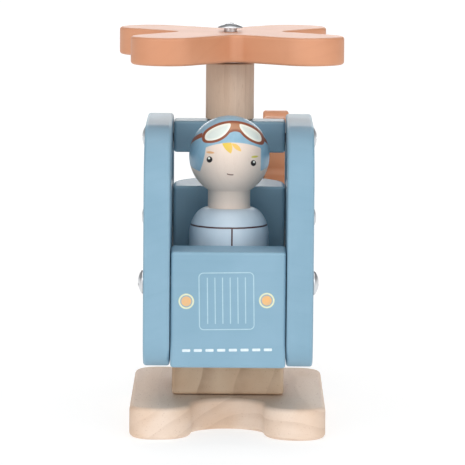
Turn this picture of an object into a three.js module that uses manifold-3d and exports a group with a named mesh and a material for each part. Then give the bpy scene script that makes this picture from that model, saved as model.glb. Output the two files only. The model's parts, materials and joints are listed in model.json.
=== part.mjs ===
import * as THREE from 'three';
import { mergeVertices } from 'three/addons/utils/BufferGeometryUtils.js';
import Module from 'manifold-3d';

// Toy helicopter of painted wood with a turned pilot figure.
// Millimetres, +Z up, nose towards -Y. The origin is on the table, under the rotor mast.

// Clearances
const fitGap = 0.3;            // between two pieces that are glued, pinned or stacked
const headClearance = 5.9;     // pilot, as it is lifted out, to the crossbar behind it
const bodyClearance = 0.95;    // pilot's body to the blocks in front and behind

// Stock and edges
const edgeRound = 1.1;         // rounded edges of boards and blocks
const cornerRound = 1.4;       // upright corners of blocks, softer than their edges
const baseEdgeRound = 1.8;
const blockWidth = 42.5;       // every block between the two side panels
const panelThickness = 9.8;

// Base board
const baseThickness = 12;
const baseWidth = 73.6;
const baseFront = 50;          // reach in front of the mast axis
const baseRear = 56;           // reach behind the mast axis
const baseCorner = 9.5;
const notchDepth = 26;
const notchRadius = 13.5;
const notchMouthRadius = 12;

// Pedestal, floor and back block
const pedestalFront = 17.5;    // reach in front of the mast axis
const pedestalLength = 47.5;
const pedestalHeight = 29.4;
const floorThickness = 12;
const backBlockDepth = 36;

// Side panels
const panelRise = 17;          // free height between the base board and the panels
const panelHeight = 88.5;
const panelFrontTopRadius = 26;
const panelRearTopRadius = 20;
const panelLowerRadius = 12;
const panelRearMargin = 4;     // the panels reach this far behind the back block
const windowHeight = 12.4;
const windowRadius = 5.5;
const windowFrontPost = 28;    // wood in front of the side window
const windowRearPost = 14;     // wood behind the side window

// Nose block
const noseThickness = 21;
const noseHeight = 43;
const noseAboveFloor = 18.7;
const noseSetback = 1;         // behind the front edges of the panels

// Crossbar and mast
const crossbarThickness = 12;
const crossbarDepth = 14;
const crossbarDrop = 1.6;      // below the tops of the panels
const mastRadius = 9.2;
const mastExposed = 22;        // height above the crossbar
const tenonRadius = 4.5;       // the mast's foot, turned down to enter the crossbar
const tenonLength = 9;

// Rotors: four straight petals with round ends, and a hollow curve between neighbours
const rotorThickness = 10.5;
const petalReach = 38;         // hub to the centre of a petal's round end
const petalRadius = 13.3;      // half the width of a petal
const hollowRadius = 4.5;
const rotorTurn = THREE.MathUtils.degToRad(6);
const tailRotorScale = 0.565;

// Tail
const tailReach = 100;         // tail rotor axis behind the mast axis
const tailAxisDrop = 4.4;      // tail rotor axis below the top of the back block
const boomWidth = 24.6;
const boomRootHeight = 26;
const boomTipRadius = 9.5;

// Fasteners
const washerThickness = 0.7;
const mainWasherRadius = 8;
const tailWasherRadius = 6.5;
const screwDome = 1.9;         // height of a domed head
const screwRim = 0.4;          // straight edge of a domed head
const sideScrewHead = 4.5;
const sideScrewShank = 2;
const sideScrewLength = 20;
const rotorScrewHead = 4.8;
const rotorScrewShank = 2.45;
const rotorScrewNeck = 1.5;    // bare shank between a rotor and the screw head
const mainScrewGrip = 20;      // length inside the mast
const tailScrewGrip = 17;      // length inside the boom
const recessWidth = 1;
const recessLength = 5;
const recessDepth = 1.1;
const baseScrewHead = 4.2;
const baseScrewHeadHeight = 2.4;
const baseScrewLength = 35;
const baseScrewRecess = 0.3;   // the heads sit this far up inside the base board
const baseScrewSpacing = 28;
const pinRadius = 3;
const floorPinLength = 42;
const floorPinSpacing = 22;
const boomPinLength = 30;
const boomPinSpacing = 10;
const boomPinRise = 1.5;       // above the middle of the boom's seat on the back block

// Screw places
const topScrewRise = 5;        // above the underside of the crossbar
const topScrewBehindMast = 1.5;
const noseScrewDrop = 12.4;    // below the top of the nose block
const backScrewDrop = 13;      // below the top of the back block
const backScrewInset = 2.5;    // in front of the end of the back block's flat sides

// Pilot figure
const pilotBodyRadius = 15.05;
const pilotHeadRadius = 15.1;
const pilotNeckRadius = 7.95;
const pilotBodyHeight = 31.1;  // seat to the foot of the neck
const pilotShoulderHeight = 11;
const pilotHeadRise = 50.5;    // seat to the centre of the head
const pilotFootRound = 1;

// Heights
const baseTop = baseThickness;
const pedestalBottom = baseTop + fitGap;
const pedestalTop = pedestalBottom + pedestalHeight;
const floorBottom = pedestalTop + fitGap;
const floorTop = floorBottom + floorThickness;
const panelBottom = baseTop + panelRise;
const panelTop = panelBottom + panelHeight;
const crossbarTop = panelTop - crossbarDrop;
const crossbarBottom = crossbarTop - crossbarThickness;
const backBlockBottom = floorTop + fitGap;
const backBlockTop = crossbarBottom - windowHeight;
const noseTop = floorTop + noseAboveFloor;
const noseBottom = noseTop - noseHeight;
const mastTop = crossbarTop + mastExposed;
const mainRotorBottom = mastTop + washerThickness + 2 * fitGap;
const pilotSeat = floorTop + fitGap;
const tailAxisZ = backBlockTop - tailAxisDrop;

// Distances along Y
const crossbarFrontY = -crossbarDepth / 2;
const pilotY = crossbarFrontY - headClearance - Math.max(pilotHeadRadius, pilotBodyRadius);
const backBlockFrontY = pilotY + pilotBodyRadius + bodyClearance;
const backBlockRearY = backBlockFrontY + backBlockDepth;
const backRoundY = backBlockRearY - blockWidth / 2;
const noseRearY = pilotY - pilotBodyRadius - bodyClearance;
const noseFrontY = noseRearY - noseThickness;
const panelFrontY = noseFrontY - noseSetback;
const panelRearY = backBlockRearY + panelRearMargin;
const pedestalRearY = pedestalLength - pedestalFront;
const pedestalMiddleY = (pedestalRearY - pedestalFront) / 2;

// Distances along X
const panelInnerX = blockWidth / 2 + fitGap;
const panelOuterX = panelInnerX + panelThickness;
const tailRotorX = boomWidth / 2 + washerThickness + 2 * fitGap;
const tailRotorOuterX = tailRotorX + rotorThickness;

// Places of repeated fasteners
const sideScrewPlaces = {
  top: [topScrewBehindMast, crossbarBottom + topScrewRise],
  nose: [(noseFrontY + noseRearY) / 2, noseTop - noseScrewDrop],
  back: [backRoundY - backScrewInset, backBlockTop - backScrewDrop],
};
const baseScrewYs = [-1, 1].map((side) => pedestalMiddleY + side * baseScrewSpacing / 2);
const floorPinXs = [-floorPinSpacing / 2, floorPinSpacing / 2];
const floorPinBottom = (pedestalTop + backBlockBottom - floorPinLength) / 2;
const boomRootBottom = tailAxisZ - boomRootHeight;
const boomSeatMiddleZ = (tailAxisZ + Math.max(boomRootBottom, backBlockBottom)) / 2;
const boomPinZs = [-1, 1].map((side) => boomSeatMiddleZ + boomPinRise + side * boomPinSpacing / 2);
const boomPinY = backBlockRearY - boomPinLength / 2;

const blue = { color: 0x8fb2c9, roughness: 0.5, metalness: 0 };
const terracotta = { color: 0xdd9f7c, roughness: 0.42, metalness: 0 };
const beech = { color: 0xdcc3a6, roughness: 0.62, metalness: 0 };
const nickel = { color: 0xc6c9cc, roughness: 0.25, metalness: 1 };
const paleShirt = { color: 0xb9c9d6, roughness: 0.4, metalness: 0 };

const quarter = Math.PI / 2;
const arcSteps = 5;            // half the facets of each arc in an outline
const roundSides = 32;
const pinSides = 16;
const holeOverrun = 1;         // a through hole's cutter runs past both faces

const wasm = await Module();
wasm.setup();

function toSolid(geometry) {
  const bare = geometry.clone();
  bare.deleteAttribute('normal');
  bare.deleteAttribute('uv');
  const welded = mergeVertices(bare);
  const corners = welded.index.array;
  const triVerts = [];
  for (let i = 0; i < corners.length; i += 3) {
    const [a, b, c] = corners.slice(i, i + 3);
    if (a !== b && b !== c && c !== a) {
      triVerts.push(a, b, c);
    }
  }
  return new wasm.Manifold(new wasm.Mesh({
    numProp: 3,
    vertProperties: new Float32Array(welded.attributes.position.array),
    triVerts: new Uint32Array(triVerts),
  }));
}

function toGeometry(solid) {
  const { vertProperties, triVerts } = solid.getMesh();
  const geometry = new THREE.BufferGeometry();
  geometry.setAttribute('position', new THREE.BufferAttribute(vertProperties, 3));
  geometry.setIndex(new THREE.BufferAttribute(triVerts, 1));
  return geometry;
}

function cut(geometry, tools) {
  return toGeometry(tools.reduce((body, tool) => body.subtract(toSolid(tool)), toSolid(geometry)));
}

// A geometry built along +Z is laid along X (its outline is then Y, Z) or along Y (Z, X).
const axisX = new THREE.Vector3(1, 0, 0);
const axisY = new THREE.Vector3(0, 1, 0);
const axisZ = new THREE.Vector3(0, 0, 1);
const layAlongX = new THREE.Matrix4().makeBasis(axisY, axisZ, axisX);
const layAlongY = new THREE.Matrix4().makeBasis(axisZ, axisX, axisY);

function rod(radius, length, sides = roundSides) {
  return new THREE.CylinderGeometry(radius, radius, length, sides)
    .rotateX(quarter)
    .translate(0, 0, length / 2);
}

// A round solid about Z from [radius, height] points, bottom first.
function turned(points, sides = roundSides) {
  const profile = points.map(([radius, height]) => new THREE.Vector2(radius, height));
  return toGeometry(toSolid(new THREE.LatheGeometry(profile, sides).rotateX(quarter)));
}

// A board with rounded edges, from z = 0 up to its thickness.
function board(outline, thickness, steps = arcSteps, round = edgeRound) {
  return new THREE.ExtrudeGeometry(outline, {
    depth: thickness - 2 * round,
    bevelThickness: round,
    bevelSize: round,
    bevelOffset: -round,
    bevelSegments: 2,
    curveSegments: steps,
  }).translate(0, 0, round);
}

// A rectangle with a radius for each corner: right low, right high, left high, left low.
function roundedOutline(left, right, low, high, radii, Path = THREE.Shape) {
  const outline = new Path();
  const corners = [[right, low, -1, 1], [right, high, -1, -1], [left, high, 1, -1], [left, low, 1, 1]];
  corners.forEach(([x, y, towardsX, towardsY], i) => {
    const start = (i - 1) * quarter;
    const radius = radii[i];
    outline.absarc(x + towardsX * radius, y + towardsY * radius, radius, start, start + quarter, false);
  });
  return outline;
}

// A block as wide as the gap between the panels, with all its edges rounded.
function block(front, rear, bottom, height) {
  const half = blockWidth / 2;
  const outline = roundedOutline(-half, half, front, rear, Array(4).fill(cornerRound));
  return board(outline, height, 1).translate(0, 0, bottom);
}

// A board that is square in front and half round behind, like the back block.
function roundBackedBoard(front, bottom, height) {
  const half = blockWidth / 2;
  const outline = roundedOutline(-half, half, front, backBlockRearY, [cornerRound, half, half, cornerRound]);
  return board(outline, height).translate(0, 0, bottom);
}

// The base has two lobes at each end, with a round notch between them.
function baseOutline() {
  const outline = new THREE.Shape();
  const cornerX = baseWidth / 2 - baseCorner;
  const mouthFromNotch = notchRadius + notchMouthRadius;
  const mouthOffset = notchDepth - mouthFromNotch;
  const mouthX = Math.sqrt(mouthFromNotch ** 2 - mouthOffset ** 2);
  const meet = Math.PI + Math.atan2(mouthOffset, mouthX);
  for (const [side, turn, reach] of [[1, 0, baseRear], [-1, Math.PI, baseFront]]) {
    const arc = (x, y, radius, from, to, clockwise) => {
      outline.absarc(side * x, side * y, radius, from + turn, to + turn, clockwise);
    };
    arc(cornerX, reach - baseCorner, baseCorner, 0, quarter, false);
    arc(mouthX, reach - notchMouthRadius, notchMouthRadius, quarter, meet, false);
    arc(0, reach - notchDepth + notchRadius, notchRadius, meet - Math.PI, -meet, true);
    arc(-mouthX, reach - notchMouthRadius, notchMouthRadius, Math.PI - meet, quarter, false);
    arc(-cornerX, reach - baseCorner, baseCorner, quarter, Math.PI, false);
  }
  return outline;
}

// Straight petals with round ends on the diagonals, and hollow arcs on the axes that meet them smoothly.
function rotorOutline(scale) {
  const [reach, petal, hollow] = [petalReach, petalRadius, hollowRadius].map((length) => length * scale);
  const hollowCentre = (petal + hollow) * Math.SQRT2;
  const outline = new THREE.Shape();
  for (let i = 0; i < 4; i += 1) {
    const petalAngle = i * quarter + quarter / 2;
    const hollowAngle = (i + 1) * quarter;
    outline.absarc(reach * Math.cos(petalAngle), reach * Math.sin(petalAngle), petal,
      petalAngle - quarter, petalAngle + quarter, false);
    outline.absarc(hollowCentre * Math.cos(hollowAngle), hollowCentre * Math.sin(hollowAngle), hollow,
      petalAngle + 3 * quarter, petalAngle + 2 * quarter, true);
  }
  return outline;
}

function rotor(scale) {
  const hole = rod(rotorScrewShank + fitGap, rotorThickness + 2 * holeOverrun).translate(0, 0, -holeOverrun);
  return cut(board(rotorOutline(scale), rotorThickness), [hole]);
}

function floorPinHoles() {
  const length = floorPinLength + 2 * fitGap;
  return floorPinXs.map((x) => rod(pinRadius + fitGap, length, pinSides)
    .translate(x, pedestalMiddleY, floorPinBottom - fitGap));
}

function boomPinHoles() {
  const length = boomPinLength + 2 * fitGap;
  return boomPinZs.map((z) => rod(pinRadius + fitGap, length, pinSides)
    .applyMatrix4(layAlongY)
    .translate(0, boomPinY - fitGap, z));
}

// Holes for one pair of side screws, as far in as their points reach.
function sideScrewHoles(place) {
  const [y, z] = sideScrewPlaces[place];
  const innerX = panelOuterX - sideScrewLength;
  return [innerX, -panelOuterX].map((x) => rod(sideScrewShank + fitGap, sideScrewLength, pinSides)
    .applyMatrix4(layAlongX)
    .translate(x, y, z));
}

function baseBoard() {
  const headTop = baseScrewRecess + baseScrewHeadHeight;
  const hollow = turned([
    [0, -holeOverrun],
    [baseScrewHead + fitGap, -holeOverrun],
    [baseScrewHead + fitGap, baseScrewRecess],
    [sideScrewShank + fitGap, headTop],
    [sideScrewShank + fitGap, baseThickness + holeOverrun],
    [0, baseThickness + holeOverrun],
  ], pinSides);
  const body = board(baseOutline(), baseThickness, arcSteps, baseEdgeRound);
  return cut(body, baseScrewYs.map((y) => hollow.clone().translate(0, y, 0)));
}

function pedestalBlock() {
  const body = block(-pedestalFront, pedestalRearY, pedestalBottom, pedestalHeight);
  const screwHoles = baseScrewYs.map((y) => rod(
    sideScrewShank + fitGap, baseScrewRecess + baseScrewLength + fitGap, pinSides).translate(0, y, 0));
  return cut(body, [...screwHoles, ...floorPinHoles()]);
}

function cabinFloor() {
  return cut(roundBackedBoard(noseRearY + fitGap, floorBottom, floorThickness), floorPinHoles());
}

function backBlock() {
  const body = roundBackedBoard(backBlockFrontY, backBlockBottom, backBlockTop - backBlockBottom);
  return cut(body, [...floorPinHoles(), ...boomPinHoles(), ...sideScrewHoles('back')]);
}

function noseBlock() {
  return cut(block(noseFrontY, noseRearY, noseBottom, noseHeight), sideScrewHoles('nose'));
}

function topCrossbar() {
  const body = block(crossbarFrontY, crossbarFrontY + crossbarDepth, crossbarBottom, crossbarThickness);
  const tenonHole = rod(tenonRadius + fitGap, tenonLength + holeOverrun)
    .translate(0, 0, crossbarTop - tenonLength);
  return cut(body, [tenonHole, ...sideScrewHoles('top')]);
}

function sidePanel() {
  const outline = roundedOutline(panelFrontY, panelRearY, panelBottom, panelTop,
    [panelLowerRadius, panelRearTopRadius, panelFrontTopRadius, panelLowerRadius]);
  outline.holes.push(roundedOutline(
    panelFrontY + windowFrontPost, panelRearY - windowRearPost,
    backBlockTop + fitGap, crossbarBottom - fitGap,
    Array(4).fill(windowRadius), THREE.Path));
  const holes = Object.values(sideScrewPlaces).map(([y, z]) => rod(
    sideScrewShank + fitGap, panelThickness + 2 * holeOverrun, pinSides).translate(y, z, -holeOverrun));
  return cut(board(outline, panelThickness), holes).applyMatrix4(layAlongX);
}

// The mast stands on the crossbar, with a thinner tenon that enters it.
function rotorMast() {
  const shoulder = crossbarTop + fitGap;
  const body = turned([
    [0, shoulder - tenonLength],
    [tenonRadius, shoulder - tenonLength],
    [tenonRadius, shoulder],
    [mastRadius, shoulder],
    [mastRadius, mastTop],
    [0, mastTop],
  ]);
  const depth = mainScrewGrip + fitGap;
  return cut(body, [rod(rotorScrewShank + fitGap, depth + holeOverrun, pinSides)
    .translate(0, 0, mastTop - depth)]);
}

// The boom narrows from its root on the back block to a round tip about the tail rotor's axis.
function tailBoom() {
  const fall = Math.atan2(tailAxisZ - boomTipRadius - boomRootBottom, tailReach - backBlockRearY);
  const outline = new THREE.Shape();
  outline.moveTo(backRoundY, boomRootBottom);
  outline.lineTo(backBlockRearY, boomRootBottom);
  outline.absarc(tailReach, tailAxisZ, boomTipRadius, fall - quarter, quarter, false);
  outline.lineTo(backBlockRearY, tailAxisZ);
  outline.lineTo(backRoundY, tailAxisZ);
  const body = board(outline, boomWidth).translate(0, 0, -boomWidth / 2).applyMatrix4(layAlongX);
  const saddle = rod(blockWidth / 2 + fitGap, 2 * boomRootHeight, 2 * roundSides)
    .translate(0, backRoundY, boomRootBottom - boomRootHeight / 2);
  const screwDepth = tailScrewGrip + fitGap;
  const screwHole = rod(rotorScrewShank + fitGap, screwDepth + holeOverrun, pinSides)
    .applyMatrix4(layAlongX)
    .translate(boomWidth / 2 - screwDepth, tailReach, tailAxisZ);
  return cut(body, [saddle, screwHole, ...boomPinHoles()]);
}

function washer(radius) {
  const hole = rod(rotorScrewShank + fitGap, washerThickness + 2 * holeOverrun).translate(0, 0, -holeOverrun);
  return cut(rod(radius, washerThickness), [hole]);
}

// A domed screw with a cross recess: the head rests on z = 0 and the shank hangs below.
function domedScrew(headRadius, shankRadius, length) {
  const domeHeight = screwDome - screwRim;
  const domeRadius = (headRadius ** 2 + domeHeight ** 2) / (2 * domeHeight);
  const domeAngle = Math.asin(headRadius / domeRadius);
  const rings = 3;
  const profile = [
    [0, -length],
    [shankRadius / 2, -length],
    [shankRadius, shankRadius - length],
    [shankRadius, 0],
    [headRadius, 0],
  ];
  for (let i = 0; i < rings; i += 1) {
    const angle = domeAngle * (1 - i / rings);
    profile.push([domeRadius * Math.sin(angle), screwDome - domeRadius * (1 - Math.cos(angle))]);
  }
  profile.push([0, screwDome]);
  const slots = [[recessLength, recessWidth], [recessWidth, recessLength]].map(([width, depth]) => (
    new THREE.BoxGeometry(width, depth, 2 * recessDepth).translate(0, 0, screwDome)));
  return cut(turned(profile, pinSides), slots);
}

function countersunkScrew() {
  const headTop = baseScrewRecess + baseScrewHeadHeight;
  const tip = baseScrewRecess + baseScrewLength;
  const body = turned([
    [0, baseScrewRecess],
    [baseScrewHead, baseScrewRecess],
    [sideScrewShank, headTop],
    [sideScrewShank, tip - 2 * sideScrewShank],
    [0, tip],
  ], pinSides);
  const slots = [[recessLength, recessWidth], [recessWidth, recessLength]].map(([width, depth]) => (
    new THREE.BoxGeometry(width, depth, 2 * recessDepth).translate(0, 0, baseScrewRecess)));
  return cut(body, slots);
}

// A peg doll turned in one piece: body, sloping shoulders, neck and round head.
function pilotFigure() {
  const shoulderFoot = pilotBodyHeight - pilotShoulderHeight;
  const neckAngle = Math.asin(pilotNeckRadius / pilotHeadRadius);
  const profile = [[0, 0], [pilotBodyRadius - pilotFootRound, 0], [pilotBodyRadius, pilotFootRound]];
  const shoulderSteps = 6;
  for (let i = 0; i <= shoulderSteps; i += 1) {
    const angle = quarter * i / shoulderSteps;
    const inward = pilotBodyRadius - pilotNeckRadius;
    profile.push([
      pilotNeckRadius + inward * Math.cos(angle),
      shoulderFoot + pilotShoulderHeight * Math.sin(angle),
    ]);
  }
  const headSteps = 12;
  for (let i = 0; i < headSteps; i += 1) {
    const angle = Math.PI - neckAngle - (Math.PI - neckAngle) * i / headSteps;
    profile.push([pilotHeadRadius * Math.sin(angle), pilotHeadRise + pilotHeadRadius * Math.cos(angle)]);
  }
  profile.push([0, pilotHeadRise + pilotHeadRadius]);
  return turned(profile);
}

const helicopter = new THREE.Group();

function addPart(parent, name, geometry, look) {
  const mesh = new THREE.Mesh(geometry, new THREE.MeshStandardMaterial(look));
  mesh.name = name;
  parent.add(mesh);
  return mesh;
}

addPart(helicopter, 'base_board', baseBoard(), beech);
addPart(helicopter, 'pedestal_block', pedestalBlock(), beech);
addPart(helicopter, 'cabin_floor', cabinFloor(), blue);
addPart(helicopter, 'back_block', backBlock(), blue);
addPart(helicopter, 'nose_block', noseBlock(), blue);
addPart(helicopter, 'top_crossbar', topCrossbar(), blue);
addPart(helicopter, 'tail_boom', tailBoom(), blue);
addPart(helicopter, 'left_side_panel', sidePanel(), blue).position.x = -panelOuterX;
addPart(helicopter, 'right_side_panel', sidePanel(), blue).position.x = panelInnerX;
addPart(helicopter, 'rotor_mast', rotorMast(), beech);

for (const [sideName, side] of [['left', -1], ['right', 1]]) {
  for (const [place, [y, z]] of Object.entries(sideScrewPlaces)) {
    const screw = addPart(helicopter, `${sideName}_${place}_screw`,
      domedScrew(sideScrewHead, sideScrewShank, sideScrewLength), nickel);
    screw.position.set(side * (panelOuterX + fitGap), y, z);
    screw.rotation.y = side * quarter;
  }
}

baseScrewYs.forEach((y, i) => {
  addPart(helicopter, `${['front', 'rear'][i]}_base_screw`, countersunkScrew(), nickel).position.y = y;
});

floorPinXs.forEach((x, i) => {
  const pin = addPart(helicopter, `${['left', 'right'][i]}_floor_pin`,
    rod(pinRadius, floorPinLength, pinSides), beech);
  pin.position.set(x, pedestalMiddleY, floorPinBottom);
});

boomPinZs.forEach((z, i) => {
  const pin = addPart(helicopter, `${['lower', 'upper'][i]}_boom_pin`,
    rod(pinRadius, boomPinLength, pinSides).applyMatrix4(layAlongY), beech);
  pin.position.set(0, boomPinY, z);
});

// Main rotor, its washer and its screw share the mast axis.
const mainHead = new THREE.Group();
mainHead.position.z = mastTop + fitGap;
helicopter.add(mainHead);
addPart(mainHead, 'main_rotor_washer', washer(mainWasherRadius), nickel);
const mainRotor = addPart(mainHead, 'main_rotor', rotor(1), terracotta);
mainRotor.position.z = mainRotorBottom - mainHead.position.z;
mainRotor.rotation.z = rotorTurn;
const mainNeckTop = mainRotor.position.z + rotorThickness + rotorScrewNeck;
const mainScrewLength = mainNeckTop + fitGap + mainScrewGrip;
addPart(mainHead, 'main_rotor_screw',
  domedScrew(rotorScrewHead, rotorScrewShank, mainScrewLength), nickel).position.z = mainNeckTop;

// The tail rotor turns on the right face of the boom: this group's +Z is the helicopter's +X.
const tailHead = new THREE.Group();
tailHead.position.set(boomWidth / 2 + fitGap, tailReach, tailAxisZ);
tailHead.quaternion.setFromRotationMatrix(layAlongX);
helicopter.add(tailHead);
addPart(tailHead, 'tail_rotor_washer', washer(tailWasherRadius), nickel);
addPart(tailHead, 'tail_rotor', rotor(tailRotorScale), terracotta).position.z
  = tailRotorX - tailHead.position.x;
const tailNeckTop = tailRotorOuterX + rotorScrewNeck - tailHead.position.x;
const tailScrewLength = tailNeckTop + fitGap + tailScrewGrip;
addPart(tailHead, 'tail_rotor_screw',
  domedScrew(rotorScrewHead, rotorScrewShank, tailScrewLength), nickel).position.z = tailNeckTop;

addPart(helicopter, 'pilot_figure', pilotFigure(), paleShirt).position.set(0, pilotY, pilotSeat);

export default helicopter;
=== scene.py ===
import json
import math

import bmesh
import bpy
from mathutils import Matrix, Vector

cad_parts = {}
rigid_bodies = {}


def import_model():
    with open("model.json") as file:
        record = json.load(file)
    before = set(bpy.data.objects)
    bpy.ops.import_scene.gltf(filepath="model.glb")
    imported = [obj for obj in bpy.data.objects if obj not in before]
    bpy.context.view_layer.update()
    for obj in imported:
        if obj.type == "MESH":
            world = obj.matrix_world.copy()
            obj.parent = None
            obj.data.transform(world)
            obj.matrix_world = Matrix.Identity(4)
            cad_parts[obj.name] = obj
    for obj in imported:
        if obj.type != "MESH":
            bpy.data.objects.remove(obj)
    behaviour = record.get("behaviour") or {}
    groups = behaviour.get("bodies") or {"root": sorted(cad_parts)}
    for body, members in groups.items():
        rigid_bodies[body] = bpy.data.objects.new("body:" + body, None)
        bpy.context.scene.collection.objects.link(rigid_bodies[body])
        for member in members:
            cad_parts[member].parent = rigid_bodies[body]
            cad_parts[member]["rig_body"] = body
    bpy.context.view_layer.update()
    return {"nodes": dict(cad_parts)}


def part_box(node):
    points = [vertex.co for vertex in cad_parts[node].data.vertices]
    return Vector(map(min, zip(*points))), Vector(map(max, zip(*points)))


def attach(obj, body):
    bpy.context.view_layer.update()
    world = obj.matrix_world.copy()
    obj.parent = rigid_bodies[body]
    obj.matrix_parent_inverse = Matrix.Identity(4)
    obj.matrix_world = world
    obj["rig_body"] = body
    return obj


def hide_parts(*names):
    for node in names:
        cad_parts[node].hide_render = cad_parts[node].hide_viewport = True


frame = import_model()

mm = 0.001
tiny = 0.001 * mm  # closer than this is the same place
quarterTurn = math.pi / 2
alongX = Matrix(((0, 0, 1), (1, 0, 0), (0, 1, 0))).to_4x4()  # local x, y, z become Y, Z, X
print("frame loaded:", len(frame["nodes"]), "nodes")


# Camera, light and floor

studio = dict(
    cameraPlace=(1.4 * mm, -1500 * mm, 248 * mm),
    cameraPitch=6.675,
    cameraRoll=0.45,
    lens=304.8,
    horizon=0.2,
    zenith=0.16,
    skyFalloff=5.0,
    lights=dict(  # azimuth, elevation, strength and softness of each
        frontLeft=(-33, 14, 0.7, 40), frontRight=(33, 14, 0.7, 40),
        sideLeft=(-65, 20, 0.34, 30), sideRight=(65, 20, 0.34, 30),
        front=(0, 36, 0.66, 35), top=(0, 85, 0.95, 50), back=(180, 12, 0.85, 36),
    ),
    floorSize=60.0, floorDrop=0.1 * mm, floorGlow=0.69,
    floorDark=(160, 160, 160), floorPale=(164, 164, 163),
)


def srgb(red, green, blue):
    linear = [((part / 255 + 0.055) / 1.055) ** 2.4 for part in (red, green, blue)]
    return (*linear, 1.0)


class Signal:  # one shader socket; arithmetic on it adds Math nodes
    def __init__(self, socket):
        self.socket = socket

    def node(self, kind, settings=None, sockets=None, output=0):
        tree = self.socket.id_data
        made = tree.nodes.new("ShaderNode" + kind)
        for name, value in (settings or {}).items():
            setattr(made, name, value)
        for key, value in (sockets or {}).items():
            if isinstance(value, Signal):
                tree.links.new(value.socket, made.inputs[key])
            else:
                made.inputs[key].default_value = value
        return Signal(made.outputs[output]) if made.outputs else made

    def maths(self, operation, *others):
        return self.node("Math", {"operation": operation}, dict(enumerate((self, *others))))

    def __add__(self, other):
        return self.maths("ADD", other)

    __radd__ = __add__

    def __sub__(self, other):
        return self.maths("SUBTRACT", other)

    def __rsub__(self, other):
        return self.node("Math", {"operation": "SUBTRACT"}, {0: other, 1: self})

    def __mul__(self, other):
        return self.maths("MULTIPLY", other)

    __rmul__ = __mul__

    def __truediv__(self, other):
        return self.maths("DIVIDE", other)

    def __pow__(self, other):
        return self.maths("POWER", other)

    def __abs__(self):
        return self.maths("ABSOLUTE")

    def largest(self, other):
        return self.maths("MAXIMUM", other)

    def smallest(self, other):
        return self.maths("MINIMUM", other)

    def step(self, low, high):  # 0 at low, 1 at high, smooth between them
        ends = {"Value": self, "From Min": low, "From Max": high}
        return self.node("MapRange", {"interpolation_type": "SMOOTHSTEP"}, ends)

    def mix(self, colourA, colourB):  # this signal is the factor
        return self.node("Mix", {"data_type": "RGBA"}, {0: self, 6: colourA, 7: colourB}, 2)

    def split(self):
        first = self.node("SeparateXYZ", {}, {0: self})
        return [Signal(output) for output in first.socket.node.outputs]

    def stretch(self, x, y, z):
        return self.node("VectorMath", {"operation": "MULTIPLY"}, {0: self, 1: (x, y, z)})

    def seenFrom(self, centre, turn=(0, 0, 0)):  # coordinates about a centre, turned
        angles = tuple(math.radians(angle) for angle in turn)
        return self.node("Mapping", {"vector_type": "TEXTURE"}, {0: self, 1: centre, 2: angles})

    def storedValue(self, name):  # what addFloatLayer stored
        return self.node("Attribute", {"attribute_name": name}, {}, 2)

    def noise(self, scale, detail=2.0, roughness=0.5):
        sockets = {"Vector": self, "Scale": scale, "Detail": detail, "Roughness": roughness}
        return self.node("TexNoise", {}, sockets)


def startMaterial(name):  # returns the material and its Object coordinates in millimetres
    material = bpy.data.materials.new(name)
    material.use_nodes = True
    material.node_tree.nodes.clear()
    coordinates = Signal(material.node_tree.nodes.new("ShaderNodeTexCoord").outputs["Object"])
    return material, coordinates.stretch(1 / mm, 1 / mm, 1 / mm)


def finishMaterial(place, height, depth, **sockets):  # height runs 0 to 1 over a depth in metres
    bump = place.node("Bump", {}, {"Strength": 1.0, "Distance": depth, "Height": height})
    values = {"Normal": bump}
    values.update({key.replace("_", " "): value for key, value in sockets.items()})
    surface = place.node("BsdfPrincipled", {}, values)
    place.node("OutputMaterial", {}, {0: surface})


def addSun(name, turn, strength, softness):
    light = bpy.data.lights.new(name, "SUN")
    light.energy = strength
    light.angle = math.radians(softness)
    lamp = bpy.data.objects.new(name, light)
    lamp.matrix_world = turn
    bpy.context.scene.collection.objects.link(lamp)


def buildStudio():
    scene = bpy.context.scene
    scene.view_settings.view_transform = "Standard"
    camera = bpy.data.objects.new("camera", bpy.data.cameras.new("camera"))
    camera.data.lens = studio["lens"]
    camera.data.clip_end = 3 * studio["floorSize"]
    level = math.radians(90 - studio["cameraPitch"])
    camera.matrix_world = (
        Matrix.Translation(studio["cameraPlace"])
        @ Matrix.Rotation(level, 4, "X")
        @ Matrix.Rotation(math.radians(studio["cameraRoll"]), 4, "Z")
    )
    scene.collection.objects.link(camera)
    scene.camera = camera

    world = bpy.data.worlds.new("studioWorld")
    world.use_nodes = True
    background = world.node_tree.nodes["Background"]
    direction = Signal(world.node_tree.nodes.new("ShaderNodeTexCoord").outputs["Generated"])
    height = direction.split()[2]
    brightness = (1.0 - abs(height)) ** studio["skyFalloff"] * studio["horizon"] + studio["zenith"]
    world.node_tree.links.new(brightness.socket, background.inputs["Strength"])
    background.inputs["Color"].default_value = srgb(255, 255, 255)
    scene.world = world

    for name, (azimuth, elevation, strength, softness) in studio["lights"].items():
        around = Matrix.Rotation(math.radians(azimuth), 4, "Z")
        addSun(name, around @ Matrix.Rotation(math.radians(90 - elevation), 4, "X"), strength, softness)

    floorShape = bmesh.new()
    bmesh.ops.create_grid(floorShape, x_segments=2, y_segments=2, size=studio["floorSize"] / 2)
    bmesh.ops.translate(floorShape, verts=floorShape.verts[:], vec=(0, 0, -studio["floorDrop"]))
    mesh = bpy.data.meshes.new("floor")
    floorShape.to_mesh(mesh)
    floorShape.free()
    floor = bpy.data.objects.new("floor", mesh)
    scene.collection.objects.link(floor)
    material, place = startMaterial("paperWhite")
    mottle = place.noise(0.02, 3.0)
    tone = mottle.mix(srgb(*studio["floorDark"]), srgb(*studio["floorPale"]))
    finishMaterial(
        place, mottle, 0.05 * mm, Base_Color=tone, Roughness=0.9,
        Emission_Color=srgb(255, 255, 255), Emission_Strength=studio["floorGlow"],
    )
    mesh.materials.append(material)


buildStudio()
print("studio ready")


# Shapes and pieces

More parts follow.
